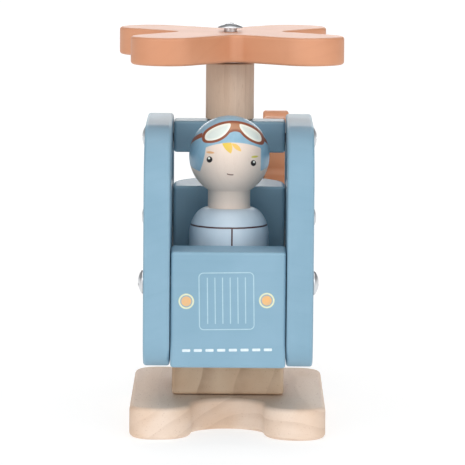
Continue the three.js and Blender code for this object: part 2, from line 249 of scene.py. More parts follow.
outlines = dict(
    cornerSteps=14, cornerShare=0.9995,  # just under the full radius, so that arcs which meet stay apart
    weld=0.02 * mm, rimSteps=6, holeSides=32, holeReach=1.05, levelFace=0.9999, wallFace=0.1,
)
turning = dict(steps=96, sharpAngle=35, weld=2 * tiny)


def addPiece(name, shape, body, material, nodes, normals=None):
    mesh = bpy.data.meshes.new(name)
    shape.to_mesh(mesh)
    shape.free()
    mesh.materials.append(material)
    if normals:
        mesh.normals_split_custom_set(normals)
    piece = bpy.data.objects.new(name, mesh)
    bpy.context.scene.collection.objects.link(piece)
    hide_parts(*nodes)
    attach(piece, body)
    return piece


def addFloatLayer(shape, name, valueOf):  # a value at each vertex, which a material reads by this name
    layer = shape.verts.layers.float.new(name)
    for vert in shape.verts:
        vert[layer] = valueOf(vert.co)


def lineTo(shape, tip, target):
    drawn = bmesh.ops.extrude_vert_indiv(shape, verts=[tip])["verts"][0]
    drawn.co = target
    return drawn


def arcTo(shape, tip, centre, angle, steps, axis=(0, 0, 1)):
    swept = bmesh.ops.spin(shape, geom=[tip], cent=centre, axis=axis, angle=angle, steps=steps)
    return swept["geom_last"][0]


def drawPolygon(shape, corners, arcSteps=outlines["cornerSteps"]):  # corners are (x, y, radius)
    verts = [shape.verts.new((x, y, 0)) for x, y, radius in corners]
    shape.faces.new(verts)
    for vert, (x, y, radius) in zip(verts, corners):
        if radius:
            bmesh.ops.bevel(
                shape, geom=[vert], offset=radius * outlines["cornerShare"], offset_type="OFFSET",
                segments=arcSteps, profile=0.5, affect="VERTICES", material=-1,
            )
    bmesh.ops.delete(shape, geom=shape.faces[:], context="FACES_ONLY")


def drawRectangle(shape, low, high, radii, arcSteps=outlines["cornerSteps"]):
    x, y = zip(low, high)
    corners = [(x[0], y[0]), (x[1], y[0]), (x[1], y[1]), (x[0], y[1])]
    drawPolygon(shape, [(*corner, radius) for corner, radius in zip(corners, radii)], arcSteps)


def inHole(point, holes):
    return any((point.xy - Vector(hole["centre"])).length < hole["reach"] for hole in holes)


def faceOutwards(shape):
    bmesh.ops.recalc_face_normals(shape, faces=shape.faces[:])
    if shape.calc_volume(signed=True) < 0:
        bmesh.ops.reverse_faces(shape, faces=shape.faces[:])


def raiseBoard(shape, board, holes=()):
    # Fills the outline that is drawn at z = 0, raises it to the board's thickness and rounds its rims.
    bmesh.ops.remove_doubles(shape, verts=shape.verts[:], dist=outlines["weld"])
    for hole in holes:
        centre = Matrix.Translation((*hole["centre"], 0))
        radius = hole["profile"][0][0]
        bmesh.ops.create_circle(shape, segments=outlines["holeSides"], radius=radius, matrix=centre)
        hole["reach"] = outlines["holeReach"] * max(radius for radius, height in hole["profile"])
    if holes or board.get("window"):
        bmesh.ops.triangle_fill(shape, edges=shape.edges[:], use_beauty=True, normal=(0, 0, 1))
    else:
        bmesh.ops.contextual_create(shape, geom=shape.edges[:])
    raised = bmesh.ops.extrude_face_region(shape, geom=shape.faces[:])["geom"]
    lifted = [item for item in raised if isinstance(item, bmesh.types.BMVert)]
    bmesh.ops.translate(shape, verts=lifted, vec=(0, 0, board["thickness"]))
    faceOutwards(shape)
    rims = [
        edge for edge in shape.edges
        if abs(abs(edge.link_faces[0].normal.z) - abs(edge.link_faces[1].normal.z)) > 0.5
        and not inHole(edge.verts[0].co, holes)
    ]
    bmesh.ops.bevel(
        shape, geom=rims, offset=board["edgeRound"], offset_type="OFFSET", segments=outlines["rimSteps"],
        profile=0.5, affect="EDGES", material=-1,
    )
    for hole in holes:
        shapeHole(shape, board, hole)
    faceOutwards(shape)


def shapeHole(shape, board, hole):  # the profile's (radius, height) pairs run from z = 0 upwards
    walls = [
        edge for edge in shape.edges
        if inHole(edge.verts[0].co, [hole]) and abs(edge.verts[0].co.z - edge.verts[1].co.z) > mm
    ]
    steps = len(hole["profile"]) - 1
    if steps > 1:
        bmesh.ops.subdivide_edges(shape, edges=walls, cuts=steps - 1)
    centre = Vector(hole["centre"])
    for vert in [vert for vert in shape.verts if inHole(vert.co, [hole])]:
        radius, height = hole["profile"][round(vert.co.z / board["thickness"] * steps)]
        outward = (vert.co.xy - centre).normalized() * radius
        vert.co = (*(centre + outward), height)


def rimRise(height, board):  # 0 along a board's upright side, 1 at its two faces
    half = board["thickness"] / 2
    straight = half - board["edgeRound"]
    return min(max((abs(height - half) - straight) / board["edgeRound"], 0), 1)


def boardNormals(shape, board, holes, turn):
    # A rounded rim's normal follows from its height, so big flat faces stay flat in the light.
    half = board["thickness"] / 2
    shape.normal_update()
    sideways = {}
    for vert in shape.verts:
        pull = sum((face.normal * face.calc_area() for face in vert.link_faces if face.smooth), Vector())
        pull.z = 0
        sideways[vert] = pull.normalized()
    spin = turn.to_3x3()
    normals = []
    for face in shape.faces:
        for vert in face.verts:
            rise = rimRise(vert.co.z, board)
            if abs(face.normal.z) > outlines["levelFace"] or not face.smooth:
                normal = face.normal
            elif inHole(vert.co, holes):
                normal = sideways[vert] if abs(face.normal.z) < outlines["wallFace"] else face.normal
            else:
                normal = sideways[vert] * math.sqrt(1 - rise * rise)
                normal.z = math.copysign(rise, vert.co.z - half)
            normals.append(spin @ normal)
    return normals


def addBoard(name, shape, board, body, material, nodes, holes=(), turn=Matrix()):
    def rimThinPaintAndSheen(point):  # 1 on the middle of a rounded rim, 0 on the flats; it weights the paler rims, partly thinner paint and partly a painted highlight
        rise = rimRise(point.z, board)
        return 2 * rise * math.sqrt(1 - rise * rise)

    for face in shape.faces:
        face.smooth = face.material_index == 0  # anything else marks a flat end
        face.material_index = 0
    normals = boardNormals(shape, board, holes, turn)
    addFloatLayer(shape, "rimThinPaintAndSheen", rimThinPaintAndSheen)
    shape.transform(turn)
    return addPiece(name, shape, body, material, nodes, normals)


def addTurned(
    name, shape, body, material, nodes, place,
    steps=turning["steps"], sharpAngle=turning["sharpAngle"],
):
    # The profile lies in the XZ plane; it is spun about Z and set down at its place.
    bmesh.ops.spin(
        shape, geom=shape.verts[:] + shape.edges[:], cent=(0, 0, 0), axis=(0, 0, 1),
        angle=2 * math.pi, steps=steps, use_merge=True,
    )
    bmesh.ops.remove_doubles(shape, verts=shape.verts[:], dist=turning["weld"])
    faceOutwards(shape)
    addFloatLayer(shape, "fromAxis", lambda point: point.xy.length / mm)
    shape.transform(place)
    piece = addPiece(name, shape, body, material, nodes)
    piece.data.shade_smooth()
    piece.data.set_sharp_from_angle(angle=math.radians(sharpAngle))
    return piece


def size(node):
    low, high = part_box(node)
    return high - low


def middleOf(node):
    low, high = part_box(node)
    return (low + high) / 2


def bodyOf(node):
    return frame["nodes"][node]["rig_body"]


# Wood, paint and metal

woodForm = dict(
    # Scale of each pattern: twice across the grain, then along it, per millimetre.
    sway=(0.035, 0.035, 0.008), patches=(0.12, 0.12, 0.03), fibres=(5.5, 5.5, 0.22),
    flecks=(1.7, 2.6, 0.33), broad=(0.05, 0.05, 0.012),
    # A ring darkens slowly and ends sharply; faintest is what is left of it in a pale year or patch.
    ringRise=(0.45, 0.93), ringEnd=(1.0, 0.95), faintest=0.35,
    patchRange=(0.3, 0.7), fleckRange=(0.66, 0.76),
)
beech = dict(
    pale=srgb(232, 212, 195), warm=srgb(222, 194, 170),
    ringTone=srgb(176, 138, 108), fleckTone=srgb(168, 128, 98), fleckDepth=0.42,
    broadRange=(0.3, 0.7), streakRange=(0.35, 0.75), streaks=0.16, roughness=0.56, relief=0.03 * mm,
)
# The rim settings make rounded edges paler: partly thinner paint, partly a painted highlight.
paintFilm = dict(
    stipple=1.3, cloud=0.045, cloudRange=(0.25, 0.75), thinPaintAndSheenNoise=0.25, thinPaintAndSheenRange=(0.25, 0.8),
    ringShow=0.07, fleckShow=0.06, thinPaintAndSheenShare=0.3, roughness=0.4, relief=0.025 * mm,
)


def woodGrain(place, wood):
    # Coordinates are turned so that the grain runs along Z and the pith is the Z axis.
    form = woodForm
    grain = place.seenFrom(wood["pith"], wood["turn"])
    sway = grain.stretch(*form["sway"]).noise(1.0, 2.0)
    x, y, z = grain.split()
    fromPith = (x * x + y * y) ** 0.5 + sway * wood["sway"]
    ringPlace = fromPith / wood["ringSpacing"]
    ringNumber = ringPlace.maths("FLOOR")
    across = ringPlace.maths("FRACT")
    strength = ringNumber.node("TexWhiteNoise", {"noise_dimensions": "1D"}, {"W": ringNumber})
    patchy = grain.stretch(*form["patches"]).noise(1.0, 2.0).step(*form["patchRange"])
    late = across.step(*form["ringRise"]) * across.step(*form["ringEnd"])
    for uneven in (strength, patchy):
        late = late * (form["faintest"] + uneven * (1 - form["faintest"]))
    fibres = grain.stretch(*form["fibres"]).noise(1.0, 3.0, 0.6)
    flecks = grain.stretch(*form["flecks"]).noise(1.0, 1.0).step(*form["fleckRange"])
    broad = grain.stretch(*form["broad"]).noise(1.0, 3.0)
    return late, fibres, flecks, broad


def bareWood(name, **wood):
    wood = {**beech, **wood}
    material, place = startMaterial(name)
    late, fibres, flecks, broad = woodGrain(place, wood)
    ground = broad.step(*wood["broadRange"]).mix(wood["pale"], wood["warm"])
    ringed = (late * wood["ringDepth"]).mix(ground, wood["ringTone"])
    flecked = (flecks * wood["fleckDepth"]).mix(ringed, wood["fleckTone"])
    streaked = (fibres.step(*wood["streakRange"]) * wood["streaks"]).mix(flecked, beech["ringTone"])
    height = 0.8 - late * 0.3 + fibres * 0.25 - flecks * 0.5
    roughness = wood["roughness"] + fibres * 0.12 - late * 0.06
    finishMaterial(place, height, wood["relief"], Base_Color=streaked, Roughness=roughness)
    return material


def brushedPaint(place, paint):
    # Satin paint over wood: faint grain under it, a fine stipple, and paler rounded edges, partly from
    # thinner paint and partly a painted highlight.
    film = paintFilm
    late, fibres, flecks, broad = woodGrain(place, paint["wood"])
    stipple = place.noise(film["stipple"], 2.0, 0.55)
    cloud = place.noise(film["cloud"], 3.0)
    # Paler rounded rims: partly thinner paint, partly a painted highlight along the edges.
    edge = place.storedValue("rimThinPaintAndSheen") * place.noise(film["thinPaintAndSheenNoise"], 3.0, 0.6).step(*film["thinPaintAndSheenRange"])
    colour = cloud.step(*film["cloudRange"]).mix(paint["deep"], paint["pale"])
    colour = (late * film["ringShow"] + flecks * film["fleckShow"]).mix(colour, paint["grain"])
    # The rims' thinner paint and painted highlight go into the colour here.
    colour = (edge * film["thinPaintAndSheenShare"]).mix(colour, paint["edge"])
    height = 0.5 + stipple * 0.4 + fibres * 0.22 - late * 0.18
    roughness = film["roughness"] + stipple * 0.12 + edge * 0.08
    return colour, roughness, height


def paintedWood(name, paint, addPrint=None):
    material, place = startMaterial(name)
    colour, roughness, height = brushedPaint(place, paint)
    if addPrint:
        colour, height = addPrint(place, colour, height)
    finishMaterial(place, height, paintFilm["relief"], Base_Color=colour, Roughness=roughness)
    return material


def blueOver(turn):  # blue paint over wood with its grain turned that way
    return dict(
        deep=srgb(125, 162, 183), pale=srgb(133, 169, 190),
        # edge: paler rim colour, partly thinner paint and partly a painted highlight
        grain=srgb(98, 132, 154), edge=srgb(150, 180, 196),
        wood=dict(pith=(9.0, 4.0, -40.0), turn=turn, ringSpacing=4.2, sway=7.0),
    )


terracottaPaint = dict(
    deep=srgb(204, 140, 103), pale=srgb(211, 149, 113),
    # edge: paler rim colour, partly thinner paint and partly a painted highlight
    grain=srgb(170, 106, 76), edge=srgb(220, 166, 135),
    wood=dict(pith=(20.0, 8.0, 70.0), turn=(90, 0, 35), ringSpacing=4.6, sway=7.0),
)
metal = dict(
    tone=srgb(226, 228, 231), deep=srgb(198, 200, 203), deepShare=0.5, ringPitch=0.25,
    cloud=0.8, cloudRange=(0.3, 0.75), scratches=(3.0, 0.35, 3.0), scratchRange=(0.62, 0.7),
    roughness=0.3, relief=0.004 * mm,
)


def nickelPlate(name):
    material, place = startMaterial(name)
    turns = place.storedValue("fromAxis") / metal["ringPitch"] * 2 * math.pi
    rings = turns.maths("SINE") * 0.5 + 0.5
    cloud = place.noise(metal["cloud"], 3.0, 0.6)
    scratches = place.stretch(*metal["scratches"]).noise(1.0, 2.0).step(*metal["scratchRange"])
    colour = (cloud.step(*metal["cloudRange"]) * metal["deepShare"]).mix(metal["tone"], metal["deep"])
    height = rings * 0.1 + cloud * 0.3 - scratches * 0.15
    roughness = metal["roughness"] + cloud * 0.08 + scratches * 0.08
    finishMaterial(place, height, metal["relief"], Base_Color=colour, Roughness=roughness, Metallic=1.0)
    return material


baseWood = bareWood(
    "beechBoard", pith=(18, 0, -52), turn=(-90, 0, 0), ringSpacing=6.2, ringDepth=0.36, sway=6.0,
)
pedestalWood = bareWood(
    "beechBlock", pith=(74, 0, 0), turn=(-90, 0, 0), ringSpacing=13.0, ringDepth=0.6, sway=9.0,
    pale=srgb(222, 197, 169), warm=srgb(212, 181, 150), ringTone=srgb(150, 108, 78),
)
turnedWood = bareWood(
    "beechRod", pith=(26, 30, 0), turn=(0, 0, 0), ringSpacing=2.8, ringDepth=0.22, sway=4.0,
    fleckDepth=0.25,
)
nickel = nickelPlate("nickel")
bluePanel = paintedWood("bluePaintAlong", blueOver((-90, 0, 0)))
blueBlock = paintedWood("bluePaintAcross", blueOver((0, 90, 0)))
blueUpright = paintedWood("bluePaintUpright", blueOver((0, 0, 0)))
terracotta = paintedWood("terracottaPaint", terracottaPaint)
print("finishes ready")


# Base and pedestal

base = dict(
    cornerRadius=9.5 * mm, notchRadius=13.5 * mm, mouthRadius=12 * mm, notchDepth=26 * mm, arcSteps=18,
    edgeRound=1.8 * mm, screwHead=4.5 * mm, screwShank=2.3 * mm, headRecess=0.3 * mm, headHeight=2.4 * mm,
)


def makeBase():  # a board with a round notch at each end, which leaves four feet
    low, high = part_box("base_board")
    base["thickness"] = high.z
    shape = bmesh.new()
    corner, notch, mouth = (base[key] for key in ("cornerRadius", "notchRadius", "mouthRadius"))
    corners = []
    for side, end in ((1, high.y), (-1, low.y)):
        deep = end - side * base["notchDepth"]
        outline = [(high.x, end, corner), (notch, end, mouth), (notch, deep, notch)]
        mirrored = [(-x, y, radius) for x, y, radius in reversed(outline)]
        corners += [(side * x, y, radius) for x, y, radius in outline + mirrored]
    drawPolygon(shape, corners, base["arcSteps"])
    head, shank = base["screwHead"], base["screwShank"]
    coneTop = base["headRecess"] + base["headHeight"]
    profile = [(head, 0), (head, base["headRecess"]), (shank, coneTop), (shank, base["thickness"])]
    holes = [screwHole("front_base_screw", profile), screwHole("rear_base_screw", profile)]
    raiseBoard(shape, base, holes)
    addBoard("baseBoard", shape, base, "airframe", baseWood, ["base_board"], holes)


def screwHole(node, profile):
    return dict(centre=middleOf(node).xy, profile=profile)


blocks = dict(cornerRadius=1.4 * mm, edgeRound=1.1 * mm, cornerSteps=6, halfRoundSteps=24)


def makeBlock(name, node, material, rearRadius=None):
    low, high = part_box(node)
    block = dict(blocks, thickness=high.z - low.z)
    small = blocks["cornerRadius"]
    rear = rearRadius or small
    shape = bmesh.new()
    arcSteps = blocks["halfRoundSteps" if rearRadius else "cornerSteps"]
    drawRectangle(shape, low.xy, high.xy, (small, small, rear, rear), arcSteps)
    raiseBoard(shape, block)
    place = Matrix.Translation((0, 0, low.z))
    addBoard(name, shape, block, "airframe", material, [node], turn=place)


makeBase()
makeBlock("pedestal", "pedestal_block", pedestalWood)
print("base and pedestal ready")


# Cabin

nosePrint = dict(
    middle=-0.6, lampSpacing=14.8, lampHeight=54.7, lampRing=2.55, ringWidth=0.62, lampDot=1.85,
    grilleHalf=(10.05, 10.5), grilleHeight=54.6, grilleCorner=1.6, line=0.34,
    barSpacing=2.8, barCount=6, barHalf=8.6, barMiddle=54.8,
    dashHeight=36.4, dashHalf=(1.5, 0.5), dashSpacing=4.3, dashCount=8,
    tilt=1.0, frontStart=0.6, frontFull=0.2, barCorner=0.15, dashCorner=0.3, dotSoftness=0.25,
    inkHeight=0.35, pale=srgb(184, 214, 223), cream=srgb(222, 224, 186),
    orange=srgb(232, 180, 116), dash=srgb(222, 234, 240),
)


def roundedBox(x, z, half, corner):  # distance to a rounded rectangle's outline, negative inside
    overX = (abs(x) - (half[0] - corner)).largest(0.0)
    overZ = (abs(z) - (half[1] - corner)).largest(0.0)
    return (overX * overX + overZ * overZ) ** 0.5 - corner


def inked(distance, soft=0.09):  # 1 inside an outline, 0 outside
    return distance.step(soft, -soft)


def rowOf(x, spacing, count):  # x folded so that a row of marks becomes one mark about 0
    middle = count / 2 - 0.5
    nearest = (x / spacing + middle).maths("ROUND").largest(0.0).smallest(count - 1)
    return x - (nearest - middle) * spacing


def printNose(place, colour, height):
    ink = nosePrint
    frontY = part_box("nose_block")[0].y / mm
    front = place.split()[1].step(frontY + ink["frontStart"], frontY + ink["frontFull"])
    x, y, z = place.seenFrom((ink["middle"], 0, ink["lampHeight"]), (0, -ink["tilt"], 0)).split()
    z = z + ink["lampHeight"]
    frameLine = abs(roundedBox(x, z - ink["grilleHeight"], ink["grilleHalf"], ink["grilleCorner"]))
    frameLine = frameLine - ink["line"] / 2
    bar = rowOf(x, ink["barSpacing"], ink["barCount"])
    bars = roundedBox(bar, z - ink["barMiddle"], (ink["line"] / 2, ink["barHalf"]), ink["barCorner"])
    dash = rowOf(x, ink["dashSpacing"], ink["dashCount"])
    dashes = roundedBox(dash, z - ink["dashHeight"], ink["dashHalf"], ink["dashCorner"])
    lampX = abs(x) - ink["lampSpacing"]
    lampZ = z - ink["lampHeight"]
    fromLamp = (lampX * lampX + lampZ * lampZ) ** 0.5
    ring = abs(fromLamp - ink["lampRing"]) - ink["ringWidth"] / 2
    thin = 0.82 + place.noise(0.9, 2.0).step(0.35, 0.7) * 0.18  # the ink is a little uneven
    lines = inked(frameLine.smallest(bars)) * front * thin
    creams = inked(ring) * front * thin
    dots = inked(fromLamp - ink["lampDot"], ink["dotSoftness"]) * front * thin
    marks = inked(dashes) * front * thin
    colour = (lines * 0.8).mix(colour, ink["pale"])
    colour = creams.mix(colour, ink["cream"])
    colour = dots.mix(colour, ink["orange"])
    colour = marks.mix(colour, ink["dash"])
    return colour, height + (lines + creams + dots + marks) * ink["inkHeight"]


panel = dict(
    edgeRound=1.1 * mm, frontTop=26 * mm, rearTop=20 * mm, lower=12 * mm,
    arcSteps=20,
    window=dict(frontPost=28 * mm, rearPost=14 * mm, radius=5.5 * mm, gap=0.3 * mm, arcSteps=8),
    screwHole=2.3 * mm,
)


def makePanel(side, name):
    node = side + "_side_panel"
    low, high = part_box(node)
    panel["thickness"] = high.x - low.x
    shape = bmesh.new()
    radii = (panel["lower"], panel["lower"], panel["rearTop"], panel["frontTop"])
    drawRectangle(shape, low.yz, high.yz, radii, panel["arcSteps"])
    window = panel["window"]
    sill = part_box("back_block")[1].z + window["gap"]
    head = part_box("top_crossbar")[0].z - window["gap"]
    drawRectangle(
        shape, (low.y + window["frontPost"], sill), (high.y - window["rearPost"], head),
        (window["radius"],) * 4, window["arcSteps"],
    )
    holes = []
    for place in ("top", "nose", "back"):
        profile = [(panel["screwHole"], 0), (panel["screwHole"], panel["thickness"])]
        holes.append(dict(centre=middleOf(f"{side}_{place}_screw").yz, profile=profile))
    raiseBoard(shape, panel, holes)
    turn = Matrix.Translation((low.x, 0, 0)) @ alongX
    addBoard(name, shape, panel, "airframe", bluePanel, [node], holes, turn)


blueNose = paintedWood("bluePaintNose", blueOver((0, 90, 0)), printNose)
makeBlock("cabinFloor", "cabin_floor", blueBlock, size("cabin_floor").x / 2)
makeBlock("backBlock", "back_block", blueUpright, size("back_block").x / 2)
makeBlock("topCrossbar", "top_crossbar", blueBlock)
makeBlock("noseBlock", "nose_block", blueNose)
makePanel("left", "leftPanel")
makePanel("right", "rightPanel")
print("cabin ready")


# Tail boom

boom = dict(
    edgeRound=1.1 * mm, tipRadius=9.5 * mm, tipSteps=30, rootDrop=26 * mm,
    saddleGap=0.3 * mm, trim=8 * mm, stations=7,  # the root is drawn long, cut and fitted to the saddle
)


def makeBoom():
    # Drawn on its side, with local x along Y and y along Z; the saddle is the back block's round rear.
    low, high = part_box("tail_boom")
    blockLow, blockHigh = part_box("back_block")
    saddle = (blockHigh.x - blockLow.x) / 2 + boom["saddleGap"]
    saddleY = blockHigh.y - (blockHigh.x - blockLow.x) / 2
    boom["thickness"] = high.x - low.x
    radius = boom["tipRadius"]
    tipY = high.y - radius
    axisZ = high.z - radius
    rootY = saddleY + math.sqrt(saddle ** 2 - high.x ** 2)
    fall = math.atan2(boom["rootDrop"] - radius, tipY - rootY)
    trimY = rootY - boom["trim"]
    trimZ = axisZ - boom["rootDrop"] - boom["trim"] * math.tan(fall)
    shape = bmesh.new()
    tip = shape.verts.new((trimY, axisZ, 0))
    tip = lineTo(shape, tip, (trimY, trimZ, 0))
    tip = lineTo(shape, tip, (tipY + radius * math.sin(fall), axisZ - radius * math.cos(fall), 0))
    tip = arcTo(shape, tip, (tipY, axisZ, 0), math.pi - fall, boom["tipSteps"])
    lineTo(shape, tip, (trimY, axisZ, 0))
    raiseBoard(shape, boom)
    cutAt(shape, (rootY, 0, 0), (1, 0, 0), True)
    for i in range(1, boom["stations"]):
        cutAt(shape, (0, 0, boom["thickness"] * i / boom["stations"]), (0, 0, 1), False)
    fitSaddle(shape, rootY, low.x, saddle, saddleY)
    faceOutwards(shape)
    turn = Matrix.Translation((low.x, 0, 0)) @ alongX
    addBoard("tailBoom", shape, boom, "airframe", bluePanel, ["tail_boom"], turn=turn)


def fitSaddle(shape, rootY, sideX, saddle, saddleY):
    # Each point of the cut slides along the boom until it meets the saddle, then the end is closed.
    for vert in [vert for vert in shape.verts if abs(vert.co.x - rootY) < tiny]:
        ends = [edge.other_vert(vert).co for edge in vert.link_edges]
        along = max(ends, key=lambda end: end.x) - vert.co
        across = vert.co.z + sideX
        target = saddleY + math.sqrt(saddle ** 2 - across ** 2)
        vert.co += along * (target - vert.co.x) / along.x
    sides = [
        edge for edge in shape.edges
        if edge.is_boundary and abs(edge.verts[0].co.z - edge.verts[1].co.z) > tiny
    ]
    for face in bmesh.ops.bridge_loops(shape, edges=sides)["faces"]:
        face.material_index = 1  # addBoard leaves these faces flat shaded


def cutAt(shape, point, normal, trim):  # trim throws away what is behind the cut
    everything = shape.verts[:] + shape.edges[:] + shape.faces[:]
    bmesh.ops.bisect_plane(
        shape, geom=everything, dist=tiny / 10, plane_co=point, plane_no=normal, clear_inner=trim)


makeBoom()
print("boom ready")


# Rotors and mast

boreRadius = 2.75 * mm  # around the rotor screws, in rotors, mast and washers
rotorForm = dict(
    petalReach=38 * mm, petalRadius=13.3 * mm, hollowRadius=4.5 * mm, edgeRound=1.1 * mm,
    turn=math.radians(6), petalSteps=40, hollowSteps=14,
)


def drawRotor(shape, scale):
    # Straight petals with round ends lie on the diagonals; a hollow arc joins each to the next.
    lengths = ("petalReach", "petalRadius", "hollowRadius")
    reach, petal, hollow = (rotorForm[key] * scale for key in lengths)
    hollowCentre = (petal + hollow) * math.sqrt(2)
    tip = None
    for i in range(4):
        turn = Matrix.Rotation(i * quarterTurn, 3, "Z")
        alongPetal = turn @ Vector((math.sqrt(0.5), math.sqrt(0.5), 0))
        acrossPetal = turn @ Vector((math.sqrt(0.5), -math.sqrt(0.5), 0))
        petalStart = alongPetal * reach + acrossPetal * petal
        tip = lineTo(shape, tip, petalStart) if tip else shape.verts.new(petalStart)
        first = first if i else tip
        tip = arcTo(shape, tip, alongPetal * reach, math.pi, rotorForm["petalSteps"])
        corner = turn @ Vector((0, hollowCentre, 0))
        tip = lineTo(shape, tip, corner + acrossPetal * hollow)
        tip = arcTo(shape, tip, corner, -quarterTurn, rotorForm["hollowSteps"])
    shape.edges.new((tip, first))


def makeRotor(name, node, body, width, turn):
    # The rotor's width across is measured on its node; the petals scale to it.
    spread = math.cos(math.pi / 4 - turn) * rotorForm["petalReach"] + rotorForm["petalRadius"]
    scale = width / (2 * spread)
    low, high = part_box(node)
    alongTail = body == "tail_rotor"  # the tail rotor turns about X, the main rotor about Z
    rotor = dict(rotorForm, thickness=high.x - low.x if alongTail else high.z - low.z)
    shape = bmesh.new()
    drawRotor(shape, scale)
    hole = dict(centre=(0, 0), profile=[(boreRadius, 0), (boreRadius, rotor["thickness"])])
    raiseBoard(shape, rotor, [hole])
    middle = middleOf(node)
    if alongTail:
        place = Matrix.Translation((low.x, middle.y, middle.z)) @ alongX
    else:
        place = Matrix.Translation((middle.x, middle.y, low.z)) @ Matrix.Rotation(turn, 4, "Z")
    addBoard(name, shape, rotor, body, terracotta, [node], [hole], place)


mast = dict(edgeRound=0.7 * mm, tenonRadius=4.5 * mm, tenonLength=9 * mm, boreDepth=20.3 * mm)
washers = dict(thickness=0.7 * mm, edge=0.12 * mm)
profileSteps = 5  # in a rounded corner of a turned piece


def drawProfile(shape, points):  # points are (radius, height, rounding)
    verts = [shape.verts.new((radius, 0, height)) for radius, height, rounding in points]
    for first, second in zip(verts, verts[1:]):
        shape.edges.new((first, second))
    for vert, (radius, height, rounding) in zip(verts, points):
        if rounding:
            bmesh.ops.bevel(
                shape, geom=[vert], offset=rounding, offset_type="OFFSET", segments=profileSteps,
                profile=0.5, affect="VERTICES", material=-1,
            )


def makeMast():
    low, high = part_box("rotor_mast")
    tall = high.z - low.z
    radius = (high.x - low.x) / 2
    tenon, shoulder = mast["tenonRadius"], mast["tenonLength"]
    rounding = mast["edgeRound"]
    floorOfBore = tall - mast["boreDepth"]
    shape = bmesh.new()
    drawProfile(shape, [
        (0, 0, 0), (tenon, 0, rounding), (tenon, shoulder, 0), (radius, shoulder, rounding),
        (radius, tall, rounding), (boreRadius, tall, 0),
        (boreRadius, floorOfBore, 0), (0, floorOfBore, 0),
    ])
    place = Matrix.Translation((0, 0, low.z))
    addTurned("rotorMast", shape, "airframe", turnedWood, ["rotor_mast"], place)


def makeWasher(name, node, body, place, radius):  # a closed ring, drawn from its bore and back to it
    edge = washers["edge"]
    thick = washers["thickness"]
    corners = [
        (boreRadius, 0, edge), (radius, 0, edge), (radius, thick, edge), (boreRadius, thick, edge),
    ]
    shape = bmesh.new()
    drawProfile(shape, [(boreRadius, thick / 2, 0), *corners, (boreRadius, thick / 2, 0)])
    bmesh.ops.remove_doubles(shape, verts=shape.verts[:], dist=tiny)
    addTurned(name, shape, body, nickel, [node], place)


makeMast()
makeRotor("mainRotor", "main_rotor", "main_rotor", size("main_rotor").x, rotorForm["turn"])
makeRotor("tailRotor", "tail_rotor", "tail_rotor", size("tail_rotor").y, 0)
mainWasherPlace = Matrix.Translation((0, 0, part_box("main_rotor_washer")[0].z))
tailCentre = middleOf("tail_rotor_washer")
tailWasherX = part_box("tail_rotor_washer")[0].x
tailWasherPlace = Matrix.Translation((tailWasherX, tailCentre.y, tailCentre.z)) @ alongX
makeWasher(
    "mainWasher", "main_rotor_washer", bodyOf("main_rotor_washer"),
    mainWasherPlace, size("main_rotor_washer").x / 2,
)
makeWasher(
    "tailWasher", "tail_rotor_washer", bodyOf("tail_rotor_washer"),
    tailWasherPlace, size("tail_rotor_washer").y / 2,
)
print("rotors and mast ready")


# Screws

screwForm = dict(
    rim=0.4 * mm, dome=1.9 * mm, recessReach=2.5 * mm, recessHalf=0.5 * mm, recessDepth=1.1 * mm,
    recessTaper=0.62, rimBevel=0.16 * mm, flatCrown=0.02 * mm, flatSkirt=0.1 * mm, tipShare=0.35,
    sides=32, domeRings=5, bevelSteps=3, sharpAngle=35,
)
sideScrews = dict(
    head=4.5 * mm, shank=2 * mm,
    turns=dict(left_top=20, left_nose=65, left_back=38, right_top=75, right_nose=12, right_back=52),
)
rotorScrews = dict(head=4.8 * mm, shank=2.45 * mm, mainTurn=30)
baseScrews = dict(shank=2 * mm, turns=dict(front=15, rear=58))


def recessOutline(angle):  # reach of the cross recess in that direction
    fromArm = abs((angle + math.pi / 4) % quarterTurn - math.pi / 4)
    end = screwForm["recessReach"] / math.cos(fromArm)
    if end * math.sin(fromArm) < screwForm["recessHalf"]:
        return end
    return screwForm["recessHalf"] / math.sin(fromArm)


